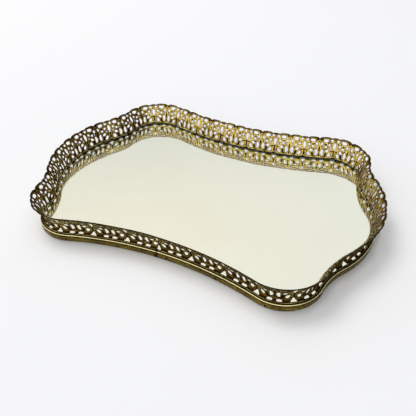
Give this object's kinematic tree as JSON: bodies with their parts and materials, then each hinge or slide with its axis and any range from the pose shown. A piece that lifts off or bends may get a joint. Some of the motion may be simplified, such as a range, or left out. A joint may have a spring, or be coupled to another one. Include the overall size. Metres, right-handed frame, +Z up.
{
  "type": "dresser vanity tray",
  "caption": "Mirrored vanity tray with a lobed outline, a rolled brass rim and a flared openwork gallery, for holding perfume bottles on a dresser.",
  "frame": {"origin": "middle of the underside, on the surface that the tray stands on", "axes": "+X along the length, +Z up, and the front, where the rim's butt joint is, faces -Y"},
  "size_m": [0.4133, 0.2904, 0.0364],
  "materials": {
    "rim_brass": "antique gilt, olive-brown with pale gold on the bead",
    "gallery_brass": "antique gilt, dark in the hollows and bright on the high strands",
    "mirror_glass": "clear polished plate, silvered behind",
    "silvering": "silver with grey backing paint",
    "card": "plain grey-brown card",
    "board": "pressed board, raw edge",
    "brad_brass": "dark domed heads",
    "felt": "dark green napped felt"
  },
  "bodies": {
    "root": {"rim_moulding": "rim_brass", "filigree_gallery": "gallery_brass", "mirror_glass": "mirror_glass", "mirror_silvering": "silvering", "backing_card": "card", "base_board": "board", "base_brads": "brad_brass", "base_felt": "felt"}
  },
  "joints": []
}
